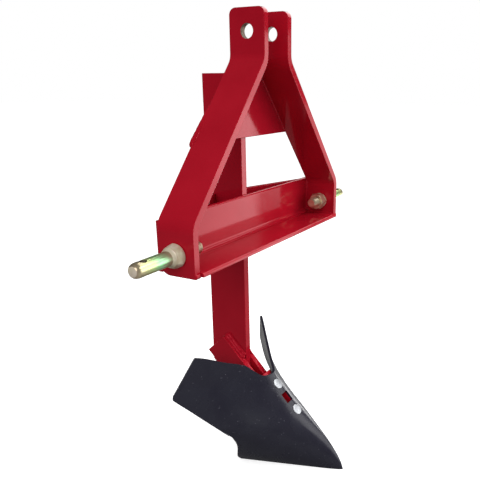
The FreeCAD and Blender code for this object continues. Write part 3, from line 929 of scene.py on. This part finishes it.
@dataclass
class HitchPins:
    """Lower hitch pins, each turned in one piece with its collar and stud, held by a nut.

    Sizes are in millimetres, and profiles run outward from the mast's foot.
    """

    radius: float = 11.1
    nose: tuple[tuple[float, float], ...] = ((-9.0, 11.1), (-6.0, 10.8), (-3.4, 10.0),
                                             (-1.5, 8.7), (-0.4, 7.4))  # back from the tip
    face: float = 6.8           # radius of the sawn end
    collar: tuple[tuple[float, float], ...] = ((0.0, 17.0), (2.4, 18.3), (6.0, 18.3),
                                               (15.0, 14.6))
    root: tuple[tuple[float, float], ...] = ((15.0, 14.4), (16.4, 12.7), (20.0, 11.2))
    draft: tuple[float, float] = (21.0, 14.9)   # the forged hexagon's corners, at foot and top
    stud: float = 9.5
    pitch: float = 2.54         # ten threads to the inch
    slack: float = 0.2          # between the stud and its washer
    split: float = -35.0        # where the washer's split is, and how wide, in degrees
    gap: float = 9.0
    linch_from_tip: float = 20.0
    linch: tuple[tuple[float, float], ...] = ((-14.0, 10.6), (-9.6, 6.6), (9.6, 6.6),
                                              (14.0, 10.6))

    def build(self) -> None:
        """Build both pins with their spring washers and nuts."""
        for side in Side:
            self.pin(side)
            self.washer(side)
            RoundedSolid("stud_nut" + side.suffix, 0.5, YELLOW_ZINC, Slot.YELLOW).build()

    def pin(self, side: Side) -> None:
        """Build one pin in place of its solid.

        Args:
            side: Which side of the plough.
        """
        node = "hitch_pin" + side.suffix
        low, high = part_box(node)
        middle = (low + high) / 2
        tip, end = ((high.x, low.x) if side is Side.LEFT else (-low.x, -high.x))
        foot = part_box("mast_bar_left")[1].x / MM
        tip, end = tip / MM, end / MM
        body = turned(((foot - 3, 0), (foot - 3, self.radius - 1), (foot + 0.5, self.radius))
                      + tuple((tip + back, radius) for back, radius in self.nose)
                      + ((tip, self.face), (tip, 0)))
        tool = turned(((self.linch[0][0], 0),) + self.linch + ((self.linch[-1][0], 0),))
        bmesh.ops.rotate(tool, verts=tool.verts, cent=(0, 0, 0),
                         matrix=Matrix.Rotation(math.pi / 2, 3, "Y"))
        bmesh.ops.translate(tool, verts=tool.verts, vec=(tip - self.linch_from_tip, 0, 0))
        shape = carved(body, tool, "DIFFERENCE")
        for dull in shape.faces:
            spot = dull.calc_center_median()
            if spot.x > tip - 0.3:
                dull.material_index = 1
            elif (abs(spot.x - tip + self.linch_from_tip) < self.linch[0][1]
                  and math.hypot(spot.y, spot.z) < self.radius - 0.8):
                dull.material_index = 2
        hexagon = bmesh.new()
        deep = self.collar[-1][0]
        bmesh.ops.create_cone(hexagon, cap_ends=True, segments=6, radius1=self.draft[0],
                              radius2=self.draft[1], depth=deep,
                              matrix=Matrix.Translation((deep / 2, 0, 0))
                              @ Matrix.Rotation(math.pi / 2, 4, "Y")
                              @ Matrix.Rotation(math.pi / 6, 4, "Z"))
        sleeve = turned(((0.0, 0),) + self.collar + ((deep, 0),))
        collar = carved(sleeve, hexagon, "INTERSECT")
        round_edges(collar, 0.5 / MM)
        merge(collar, turned(((deep - 2.0, 0), (deep - 2.0, 14.0)) + self.root
                             + ((self.root[-1][0], 0),)))
        for dull in collar.faces:
            dull.material_index = 1
        bmesh.ops.translate(collar, verts=collar.verts, vec=(foot, 0, 0))
        merge(shape, collar)
        Thread(Vector((foot - 2, 0, 0)), Vector((-1, 0, 0)), foot - 2 - end, self.stud,
               self.pitch).add_to(shape, 1.0)
        turn = Matrix.Scale(side.value, 4, (1, 0, 0))
        place = Matrix.Translation(Vector((0, middle.y, middle.z)))
        bmesh.ops.transform(shape, verts=shape.verts, matrix=place @ turn @ Matrix.Scale(MM, 4))
        bmesh.ops.recalc_face_normals(shape, faces=shape.faces)
        make_piece(node + "_steel", shape, YELLOW_ZINC, Slot.YELLOW, node,
                   others=(DULL_ZINC, BARE_STEEL))

    def washer(self, side: Side) -> None:
        """Build one split spring washer, flattened by its nut.

        Args:
            side: Which side of the plough.
        """
        node = "lock_washer" + side.suffix
        low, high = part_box(node)
        middle = (low + high) / 2
        shape = bmesh.new()
        inner, outer = self.stud + self.slack, (high.z - low.z) / 2 / MM
        half = 0.5 * (high.x - low.x) / MM
        corners = [shape.verts.new(c) for c in ((-half, 0, inner), (half, 0, inner),
                                                (half, 0, outer), (-half, 0, outer))]
        ring = shape.faces.new(corners)
        bmesh.ops.rotate(shape, verts=corners, cent=(0, 0, 0),
                         matrix=Matrix.Rotation(math.radians(self.split), 3, "X"))
        gap = math.radians(self.gap)
        bmesh.ops.spin(shape, geom=[ring] + list(ring.edges) + corners, cent=(0, 0, 0),
                       axis=(1, 0, 0), angle=math.tau - gap, steps=44, use_merge=False,
                       use_duplicate=False)
        bmesh.ops.recalc_face_normals(shape, faces=shape.faces)
        round_edges(shape, 0.5 / MM)
        bmesh.ops.transform(shape, verts=shape.verts,
                            matrix=Matrix.Translation(middle) @ Matrix.Scale(MM, 4))
        make_piece(node + "_steel", shape, DULL_ZINC, Slot.YELLOW, node)


@dataclass
class PloughBolts:
    """Plough bolts: flush heads in the share's ridge, nuts between the cheeks."""

    frog: Frog
    radius: float = 5.55
    pitch: float = 1.814        # fourteen threads to the inch
    spacing: float = 60.5
    nut_foot: float = -30.1     # the nut's outer face and the bolt's end, out of the ridge
    end: float = -35.1
    proud: float = 0.7          # how far the heads stand out of the ridge

    def build(self) -> None:
        """Build both bolts and their nuts."""
        for node, along in (("upper", self.spacing / 2), ("lower", -self.spacing / 2)):
            self.bolt("plough_bolt_" + node, along)
            RoundedSolid("plough_nut_" + node, 0.4, BRIGHT_ZINC, Slot.BRIGHT).build()

    def bolt(self, node: str, along: float) -> None:
        """Build one bolt with its threaded end in place of its solid.

        Args:
            node: The bolt's node.
            along: Its place along the share's ridge, in millimetres.
        """
        shape = solid_of(node)
        start = self.frog.point(along, self.nut_foot + 1.0, 0.0)
        inward = self.frog.point(along, self.end, 0.0) - start
        top = self.frog.point(along, -self.proud, 0.0)
        head = [v for v in shape.verts if (v.co - top).dot(inward) < 0]
        bmesh.ops.translate(shape, verts=head, vec=inward.normalized() * (-self.proud * MM))
        bmesh.ops.bisect_plane(shape, geom=shape.verts[:] + shape.edges[:] + shape.faces[:],
                               dist=1e-6, plane_co=start, plane_no=inward, clear_outer=True)
        rim = [e for e in shape.edges if e.is_boundary]
        bmesh.ops.contextual_create(shape, geom=rim)
        round_edges(shape, 0.8, 4)
        Thread(start, inward.normalized(), inward.length / MM, self.radius,
               self.pitch).add_to(shape)
        bmesh.ops.recalc_face_normals(shape, faces=shape.faces)
        make_piece(node + "_steel", shape, BRIGHT_ZINC, Slot.BRIGHT, node)


# ---- Studio -------------------------------------------------------------------------------------
@dataclass
class SoftBox:
    """A rectangular soft light that faces a point; sizes in metres, brightness as radiance."""

    name: str
    place: tuple[float, float, float]
    width: float
    height: float
    brightness: float

    def build(self, target: Vector) -> None:
        """Hang the light.

        Args:
            target: The point that it is turned to.
        """
        light = bpy.data.lights.new(self.name, "AREA")
        light.shape, light.size, light.size_y = "RECTANGLE", self.width, self.height
        light.energy = self.brightness * math.pi * self.width * self.height
        lamp = hang(self.name, light)
        lamp.location = self.place
        lamp.rotation_euler = (target - lamp.location).to_track_quat("-Z", "Y").to_euler()


@dataclass
class Studio:
    """Pale floor before a white sweep, soft light and the camera."""

    lens: float = 44.403
    eye: tuple[float, float, float] = (-0.88567, -0.51997, -0.07855)
    turn: tuple[float, float, float] = (71.4998, 0.0585, -61.6983)
    shift: tuple[float, float] = (-0.09356, 0.08881)
    floor_size: float = 40.0
    sweep: tuple[float, float, float] = (0.87, 0.49, 0.0)   # towards the white sweep
    horizon: tuple[float, float, float] = (0.87, 0.49, -0.6)    # the sweep's low, bright part
    ambient: float = 0.68       # the room's even light
    dim: float = 0.16           # how bright gloss shows the room away from the sweep
    beside: float = 0.03        # and how bright beside it
    glow: float = 0.62          # the floor's own light where it is seen
    lamps: tuple[SoftBox, ...] = (
        SoftBox("key", (0.68, -1.03, -0.33), 1.28, 0.86, 2.35),
        SoftBox("key_top", (0.75, -1.15, 0.62), 1.2, 0.6, 3.65),
        SoftBox("near_fill", (-1.74, -0.49, 0.47), 1.2, 1.2, 2.75),
        SoftBox("far_top", (1.34, -0.12, 0.97), 1.4, 1.4, 2.5),
        SoftBox("kicker", (1.05, -0.05, -0.64), 0.45, 0.22, 5.0),
    )

    def build(self) -> None:
        """Build the floor, lights, world and camera."""
        self.floor()
        low, high = CAD_BOX
        for lamp in self.lamps:
            lamp.build((low + high) / 2)
        self.world()
        data = bpy.data.cameras.new("camera")
        data.lens, data.sensor_width = self.lens, 36.0
        data.shift_x, data.shift_y = self.shift
        camera = hang("camera", data)
        camera.location = self.eye
        camera.rotation_euler = [math.radians(a) for a in self.turn]
        bpy.context.scene.camera = camera
        bpy.context.scene.view_settings.view_transform = "Standard"

    def shown(self, tree: Tree, where: Socket, towards: tuple[float, float, float],
              near: float, far: float, shade: tuple[float, float]) -> Socket:
        """Tell how white the studio is seen in a direction or at a place.

        Args:
            tree: Node tree that gets the nodes.
            where: Direction or position.
            towards: Direction along which distance is measured.
            near: Distance at which the white begins.
            far: Distance at which it is full.
            shade: How bright gloss shows the rest, away from the sweep and beside it.

        Returns:
            Zero to one: one to the camera, and to gloss and glass where the sweep stands.
        """
        rays = add_node(tree, "LightPath")
        bent = add_node(tree, "Math", {0: rays.outputs["Is Glossy Ray"],
                                       1: rays.outputs["Is Transmission Ray"]},
                        operation="MAXIMUM")
        ahead = add_node(tree, "VectorMath", {0: where, 1: towards}, operation="DOT_PRODUCT")
        white = add_node(tree, "MapRange", {"Value": ahead.outputs["Value"], "From Min": near,
                                            "From Max": far}, interpolation_type="SMOOTHSTEP")
        level = add_node(tree, "VectorMath", {0: where, 1: self.sweep}, operation="DOT_PRODUCT")
        rest = add_node(tree, "MapRange", {"Value": level.outputs["Value"], "From Min": -0.2,
                                           "From Max": 0.4, "To Min": shade[0],
                                           "To Max": shade[1]})
        both = add_node(tree, "Math", {0: white.outputs["Result"], 1: rest.outputs["Result"]},
                        operation="MAXIMUM")
        gloss = add_node(tree, "Math", {0: bent.outputs[0], 1: both.outputs[0]},
                         operation="MULTIPLY")
        seen = add_node(tree, "Math", {0: rays.outputs["Is Camera Ray"], 1: gloss.outputs[0]},
                        operation="MAXIMUM")
        return seen.outputs[0]

    def floor(self) -> None:
        """Lay the floor under the share's point."""
        shape = bmesh.new()
        bmesh.ops.create_grid(shape, x_segments=1, y_segments=1, size=self.floor_size / 2)
        bmesh.ops.translate(shape, verts=shape.verts, vec=Vector((0, 0, CAD_BOX[0].z)))
        mesh = bpy.data.meshes.new("floor")
        shape.to_mesh(mesh)
        shape.free()
        finish = bpy.data.materials.new("Pale_floor")
        finish.use_nodes = True
        tree = finish.node_tree
        shader = tree.nodes["Principled BSDF"]
        place = add_node(tree, "TexCoord").outputs["Object"]
        seen = self.shown(tree, place, self.sweep, 0.8, 2.0, (self.dim, self.dim))
        tone = add_node(tree, "Mix", {"Factor": seen, "A": linear("606060"),
                                      "B": linear("E6E6E6")}, data_type="RGBA")
        tree.links.new(tone.outputs["Result"], shader.inputs["Base Color"])
        shader.inputs["Roughness"].default_value = 0.9
        shader.inputs["Specular IOR Level"].default_value = 0.0
        lift = add_node(tree, "Math", {0: seen, 1: self.glow}, operation="MULTIPLY")
        shader.inputs["Emission Color"].default_value = (1, 1, 1, 1)
        tree.links.new(lift.outputs[0], shader.inputs["Emission Strength"])
        mesh.materials.append(finish)
        hang("floor", mesh)

    def world(self) -> None:
        """Fill the studio with even light, white where it is seen."""
        world = bpy.data.worlds.new("studio")
        bpy.context.scene.world = world
        world.use_nodes = True
        tree = world.node_tree
        back = tree.nodes["Background"]
        seen = self.shown(tree, add_node(tree, "TexCoord").outputs["Generated"], self.horizon,
                          0.9, 1.05, (self.dim, self.beside))
        rays = add_node(tree, "LightPath")
        even = add_node(tree, "Math", {0: rays.outputs["Is Diffuse Ray"], 1: self.ambient},
                        operation="MULTIPLY")
        strength = add_node(tree, "Math", {0: seen, 1: even.outputs[0]}, operation="MAXIMUM")
        back.inputs["Color"].default_value = (1, 1, 1, 1)
        tree.links.new(strength.outputs[0], back.inputs["Strength"])


def main() -> None:
    """Build the plough and its studio in order."""
    logging.basicConfig(level=logging.INFO, format="%(message)s")
    frog = Frog()
    for part in (Mast(), Shank(), frog, SharePlate(), HitchPins(), PloughBolts(frog), Studio()):
        part.build()
        log.info("built %s", type(part).__name__)


if __name__ == "__main__":
    main()
